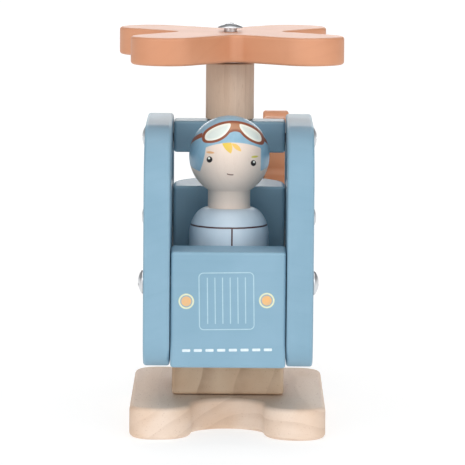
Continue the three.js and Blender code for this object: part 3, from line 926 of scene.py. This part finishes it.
def makeScrew(name, node, body, head, shank, length, place, dome=screwForm["dome"], cone=0.0):
    # The head stands on z = 0 and the shank hangs below it; a cone makes it a countersunk screw.
    form = screwForm
    shape = bmesh.new()
    rim = bmesh.ops.create_circle(shape, segments=form["sides"], radius=head)["verts"]
    cross = bmesh.ops.create_circle(shape, segments=form["sides"], radius=head / 2)["verts"]
    for vert in cross:
        angle = math.atan2(vert.co.y, vert.co.x)
        vert.co = Vector((math.cos(angle), math.sin(angle), 0)) * recessOutline(angle)
    rimEdges = [edge for edge in shape.edges if edge.verts[0] in rim]
    crossEdges = [edge for edge in shape.edges if edge.verts[0] in cross]
    bmesh.ops.bridge_loops(shape, edges=rimEdges + crossEdges)
    spokes = [edge for edge in shape.edges if edge not in rimEdges + crossEdges]
    bmesh.ops.subdivide_edges(shape, edges=spokes, cuts=form["domeRings"])
    crown = max(dome - form["rim"], form["flatCrown"])
    domeRadius = (head ** 2 + crown ** 2) / (2 * crown)
    for vert in shape.verts:
        vert.co.z = dome - domeRadius + math.sqrt(domeRadius ** 2 - vert.co.xy.length_squared)
    sunk = extrudeLoop(shape, crossEdges)
    for vert in sunk:
        vert.co = (*(vert.co.xy * form["recessTaper"]), dome - form["recessDepth"])
    bmesh.ops.contextual_create(shape, geom=loopEdges(sunk))
    loop = rimEdges
    skirt = 0 if dome > form["rim"] else -form["flatSkirt"]
    tip = shank * form["tipShare"]
    profile = [(head, skirt), (shank, -cone), (shank, shank - length), (tip, -length)]
    for radius, height in profile:
        ring = extrudeLoop(shape, loop)
        for vert in ring:
            vert.co = (*(vert.co.xy.normalized() * radius), height)
        loop = loopEdges(ring)
    bmesh.ops.contextual_create(shape, geom=loop)
    bmesh.ops.bevel(
        shape, geom=rimEdges, offset=form["rimBevel"], offset_type="OFFSET", segments=form["bevelSteps"],
        profile=0.5, affect="EDGES", material=-1,
    )
    faceOutwards(shape)
    addFloatLayer(shape, "fromAxis", lambda point: point.xy.length / mm)
    shape.transform(place)
    piece = addPiece(name, shape, body, nickel, [node])
    piece.data.shade_smooth()
    piece.data.set_sharp_from_angle(angle=math.radians(form["sharpAngle"]))


def extrudeLoop(shape, edges):
    drawn = bmesh.ops.extrude_edge_only(shape, edges=edges)["geom"]
    return [item for item in drawn if isinstance(item, bmesh.types.BMVert)]


def loopEdges(verts):
    members = set(verts)
    return list({edge for vert in verts for edge in vert.link_edges if edge.other_vert(vert) in members})


def turnedBy(degrees):
    return Matrix.Rotation(math.radians(degrees), 4, "Z")


def makeSideScrews():
    for placeName, degrees in sideScrews["turns"].items():
        node = placeName + "_screw"
        low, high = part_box(node)
        side = 1 if low.x > 0 else -1
        seat = middleOf(node)
        seat.x = (high.x if side > 0 else low.x) - side * screwForm["dome"]
        place = Matrix.Translation(seat) @ Matrix.Rotation(side * quarterTurn, 4, "Y") @ turnedBy(degrees)
        length = high.x - low.x - screwForm["dome"]
        first, second = placeName.split("_")
        makeScrew(
            first + second.title() + "Screw", node, "airframe",
            sideScrews["head"], sideScrews["shank"], length, place,
        )


def makeRotorScrews():
    head, shank, dome = rotorScrews["head"], rotorScrews["shank"], screwForm["dome"]
    node = "main_rotor_screw"
    place = Matrix.Translation((0, 0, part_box(node)[1].z - dome)) @ turnedBy(rotorScrews["mainTurn"])
    makeScrew("mainRotorScrew", node, bodyOf(node), head, shank, size(node).z - dome, place)
    node = "tail_rotor_screw"
    middle = middleOf(node)
    place = Matrix.Translation((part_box(node)[1].x - dome, middle.y, middle.z)) @ alongX
    makeScrew("tailRotorScrew", node, bodyOf(node), head, shank, size(node).x - dome, place)


def makeBaseScrews():
    for side, degrees in baseScrews["turns"].items():
        low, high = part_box(side + "_base_screw")
        upsideDown = Matrix.Rotation(math.pi, 4, "X")
        place = Matrix.Translation((0, (low.y + high.y) / 2, low.z)) @ upsideDown @ turnedBy(degrees)
        makeScrew(
            side + "BaseScrew", side + "_base_screw", "airframe",
            (high.x - low.x) / 2, baseScrews["shank"], high.z - low.z, place,
            dome=0.0, cone=base["headHeight"],
        )


makeSideScrews()
makeRotorScrews()
makeBaseScrews()
for node in ("left_floor_pin", "right_floor_pin", "lower_boom_pin", "upper_boom_pin"):
    hiddenPin = frame["nodes"][node]
    hiddenPin.data.materials.clear()
    hiddenPin.data.materials.append(turnedWood)
print("screws and pins ready")


# Pilot

pilot = dict(
    bodyRadius=15.05 * mm, headRadius=15.1 * mm, neckRadius=7.95 * mm, footRound=1.2 * mm,
    shoulderFoot=20.1 * mm, shoulderHeight=11 * mm, collarRise=31.1, chestRise=24.7,
    footSteps=5, shoulderSteps=22, headSteps=44, turnSteps=112, sharpAngle=60,
)
shirtPrint = dict(
    seamX=1.2, seamWidth=0.6, wobble=0.16,
    deep=srgb(198, 213, 225), pale=srgb(206, 220, 231), line=srgb(74, 36, 36),
)
helmetPrint = dict(  # hem: how low it sits on the sides and how it rises towards the back
    hem=-3.2, hemSlope=0.345, deep=srgb(140, 180, 202), pale=srgb(152, 189, 210),
)
goggles = dict(  # circles are (across, up, radius) about the head's centre, in millimetres
    top=(1.3, -3.6, 16.5), leftLower=(-7.44, 13.62, 9.28), rightLower=(13.2, 15.4, 11.6),
    noseArch=(2.15, 4.9, 3.85), leftEnds=(-10.3, 1.7), rightEnds=(2.6, 13.1),
    browCorner=1.6, noseCorner=0.8, leftCorner=2.2, rightCorner=2.6, archCorner=0.4,
    bridgeHalf=3.2, bridgeFoot=6.0, frameWidth=0.95, glassEdge=(-2.1, -1.0),
    strapHeight=4.6, strapSlope=0.347, strapHalf=1.15, strapStart=(1.3, 11.2),
    frame=srgb(146, 84, 60), bridge=srgb(184, 132, 98),
    glass=srgb(220, 230, 224), glint=srgb(246, 249, 238),
)
facePrint = dict(
    tilt=6.675, soft=0.12, skin=srgb(235, 217, 203),
    hairline=(1.41, -25.15, 29.73), leftTemple=-8.8, rightTemple=11.75,
    templeTop=2.75, templeCurve=(0.1, 0.016),
    tufts=(((3.55, 6.3, 6.57), (-3.61, 2.6, 4.71)), ((1.06, 0.91, 3.4), (4.83, 5.39, 4.1))),
    hairDeep=srgb(230, 198, 76), hairPale=srgb(240, 198, 104),
    leftEye=((-7.38, -1.77), (1.08, 1.16)), rightEye=((8.99, -2.97), (1.0, 1.1)), eye=srgb(34, 26, 26),
    leftGlint=((-7.55, -1.3), (0.4, 0.4)), rightGlint=((9.2, -2.55), (0.36, 0.36)),
    leftBrow=((-7.1, 0.86), (1.5, 0.42), -6), browLeft=srgb(226, 174, 120),
    rightBrow=((9.44, -0.57), (1.3, 0.4), 8), browRight=srgb(203, 194, 84),
    mouth=(0.36, -7.38), mouthHalf=1.2, mouthThin=0.2, mouthBend=0.12, lips=srgb(120, 84, 76),
)


def makePilot(material):
    low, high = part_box("pilot_figure")
    middle = middleOf("pilot_figure")
    body, head, neck = (pilot[key] for key in ("bodyRadius", "headRadius", "neckRadius"))
    foot = pilot["footRound"]
    shoulder = pilot["shoulderFoot"]
    headHeight = high.z - low.z - head
    shape = bmesh.new()
    tip = shape.verts.new((0, 0, 0))
    tip = lineTo(shape, tip, (body - foot, 0, 0))
    tip = arcTo(shape, tip, (body - foot, 0, foot), -quarterTurn, pilot["footSteps"], axis=(0, 1, 0))
    tip = lineTo(shape, tip, (body, 0, shoulder))
    before = set(shape.verts)
    arcTo(shape, tip, (neck, 0, shoulder), -quarterTurn, pilot["shoulderSteps"], axis=(0, 1, 0))
    shoulderVerts = [vert for vert in shape.verts if vert not in before]
    for vert in shoulderVerts:  # the quarter circle becomes a taller quarter oval
        vert.co.z = shoulder + (vert.co.z - shoulder) * pilot["shoulderHeight"] / (body - neck)
    tip = max(shoulderVerts, key=lambda vert: vert.co.z)
    neckTurn = math.asin(neck / head)
    neckTop = headHeight - head * math.cos(neckTurn)
    tip = lineTo(shape, tip, (neck, 0, neckTop))
    arcTo(shape, tip, (0, 0, headHeight), neckTurn - math.pi, pilot["headSteps"], axis=(0, 1, 0))
    place = Matrix.Translation((middle.x, middle.y, low.z))
    addTurned(
        "pilotFigure", shape, "pilot", material, ["pilot_figure"], place,
        pilot["turnSteps"], pilot["sharpAngle"],
    )


# The face is drawn with s across, t up and back behind the head's centre, all in millimetres.

def circleDistance(s, t, circle):
    overS = s - circle[0]
    overT = t - circle[1]
    return (overS * overS + overT * overT) ** 0.5 - circle[2]


def ovalDistance(s, t, centre, half, degrees=0.0):
    angle = math.radians(degrees)
    overS = s - centre[0]
    overT = t - centre[1]
    turnedS = overS * math.cos(angle) + overT * math.sin(angle)
    turnedT = overT * math.cos(angle) - overS * math.sin(angle)
    reach = ((turnedS / half[0]) ** 2 + (turnedT / half[1]) ** 2) ** 0.5
    return (reach - 1.0) * half[1]


def smoothLargest(first, second, softness):
    return first.maths("SMOOTH_MAX", second, softness)


def drawGoggles(s, t, back):
    form = goggles
    front = back.step(0.4, -0.4)
    top = circleDistance(s, t, form["top"])

    def lens(lower, outerSide, innerSide, outerCorner):
        shape = smoothLargest(top, circleDistance(s, t, lower), form["browCorner"])
        shape = smoothLargest(shape, outerSide, outerCorner)
        return smoothLargest(shape, innerSide, form["noseCorner"])

    leftOuter, leftInner = form["leftEnds"]
    rightInner, rightOuter = form["rightEnds"]
    left = lens(form["leftLower"], leftOuter - s, s - leftInner, form["leftCorner"])
    right = lens(form["rightLower"], s - rightOuter, rightInner - s, form["rightCorner"])
    outer = left.smallest(right)
    bridge = smoothLargest(top, circleDistance(s, t, form["noseArch"]) * -1.0, form["archCorner"])
    bridge = bridge.largest(abs(s - form["noseArch"][0]) - form["bridgeHalf"])
    bridge = bridge.largest(form["bridgeFoot"] - t)
    lenses = inked(outer + form["frameWidth"]) * front
    rims = inked(outer.smallest(bridge)) * front
    glassEdge = outer.step(*form["glassEdge"])
    strapLine = t - (form["strapHeight"] - back * form["strapSlope"])
    pastLenses = abs(s - form["strapStart"][0]) - form["strapStart"][1]
    strap = inked(abs(strapLine) - form["strapHalf"]) * (1.0 - front * pastLenses.step(0.4, 0.0))
    return rims, lenses, glassEdge, strap, bridge


def faceOpening(s, t, back):
    form = facePrint
    drop = form["templeTop"] - t
    lean, bend = form["templeCurve"]
    leftEdge = form["leftTemple"] - drop * lean - drop * drop * bend
    sides = (leftEdge - s).largest(s - form["rightTemple"])
    opening = smoothLargest(circleDistance(s, t, form["hairline"]), sides, 0.7)
    return inked(opening, form["soft"]) * back.step(0.6, -0.6)


def drawShirt(place, colour, foot, middleY):
    form = shirtPrint
    x, y, z = place.split()
    collar = foot + pilot["collarRise"]
    chest = foot + pilot["chestRise"]
    painted = inked(z - collar, 0.15)
    shirt = place.noise(0.12, 3.0).step(0.3, 0.7).mix(form["deep"], form["pale"])
    wander = (place.noise(0.3, 2.0) - 0.5) * form["wobble"]
    fromChest = abs(z - chest + wander) - form["seamWidth"] / 2
    fromSeam = (abs(x - form["seamX"]) - form["seamWidth"] / 2).largest(z - chest).largest(y - middleY)
    seams = inked(fromChest.smallest(fromSeam), 0.12) * painted
    colour = painted.mix(colour, shirt)
    return seams.mix(colour, form["line"]), painted, seams, z.step(collar, collar + 1.0)


def drawHelmet(place, colour, s, t, back, aboveCollar):
    form = helmetPrint
    opening = faceOpening(s, t, back)
    hem = back.smallest(0.0) * form["hemSlope"] + form["hem"]
    capped = inked(hem - t, 0.12) * (1.0 - opening) * aboveCollar
    rims, lenses, glassEdge, strap, bridge = drawGoggles(s, t, back)
    helmet = place.stretch(1.0, 1.0, 0.6).noise(0.5, 3.0).step(0.3, 0.75).mix(form["deep"], form["pale"])
    colour = capped.mix(colour, helmet)
    colour = (strap * capped).mix(colour, goggles["frame"])
    rimColour = inked(bridge + 0.9, 0.5).mix(goggles["frame"], goggles["bridge"])
    colour = rims.mix(colour, rimColour)
    colour = lenses.mix(colour, glassEdge.mix(goggles["glass"], goggles["glint"]))
    return colour, opening, capped, rims


def drawFace(colour, s, t, back, opening):
    form = facePrint
    face = back.step(0.0, -1.0)
    tufts = [
        circleDistance(s, t, first).largest(circleDistance(s, t, second))
        for first, second in form["tufts"]
    ]
    hair = inked(tufts[0].smallest(tufts[1]), form["soft"]) * opening * face
    colour = hair.mix(colour, (s + 0.4).step(-1.5, 2.5).mix(form["hairDeep"], form["hairPale"]))
    for brow, tone in (("leftBrow", "browLeft"), ("rightBrow", "browRight")):
        mark = inked(ovalDistance(s, t, *form[brow]), form["soft"]) * face
        colour = mark.mix(colour, form[tone])
    eyes = ovalDistance(s, t, *form["leftEye"]).smallest(ovalDistance(s, t, *form["rightEye"]))
    colour = (inked(eyes, form["soft"]) * face).mix(colour, form["eye"])
    glints = ovalDistance(s, t, *form["leftGlint"]).smallest(ovalDistance(s, t, *form["rightGlint"]))
    colour = (inked(glints, 0.1) * face).mix(colour, goggles["glint"])
    across = s - form["mouth"][0]
    smile = t - form["mouth"][1] - across * across * form["mouthBend"] + across * form["mouthBend"]
    mouth = inked(abs(smile) - form["mouthThin"], form["soft"])
    mouth = mouth * inked(abs(across) - form["mouthHalf"], 0.15)
    return (mouth * face).mix(colour, form["lips"])


def pilotPaint():
    low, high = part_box("pilot_figure")
    middle = middleOf("pilot_figure") / mm
    centre = (middle.x, middle.y, (high.z - pilot["headRadius"]) / mm)
    material, place = startMaterial("pilotPaint")
    wood = dict(pith=(22, -60, 0), turn=(0, 0, 0), ringSpacing=3.1, sway=4.0)
    late, fibres, flecks, broad = woodGrain(place, wood)
    s, back, t = place.seenFrom(centre, (-facePrint["tilt"], 0, 0)).split()

    shade = late * 0.05 + flecks * 0.08 + fibres.step(0.4, 0.8) * 0.05
    colour = shade.mix(facePrint["skin"], beech["ringTone"])
    colour, painted, seams, aboveCollar = drawShirt(place, colour, low.z / mm, centre[1])
    colour, opening, capped, rims = drawHelmet(place, colour, s, t, back, aboveCollar)
    colour = drawFace(colour, s, t, back, opening)
    inkLayer = painted.largest(capped).largest(rims)
    stipple = place.noise(1.1, 2.0)
    height = 0.3 + fibres * 0.15 + stipple * 0.12 + inkLayer * 0.35 - seams * 0.2
    roughness = 0.5 + fibres * 0.08 - inkLayer * 0.24 + stipple * 0.05
    finishMaterial(place, height, 0.03 * mm, Base_Color=colour, Roughness=roughness)
    return material


makePilot(pilotPaint())
print("pilot ready")
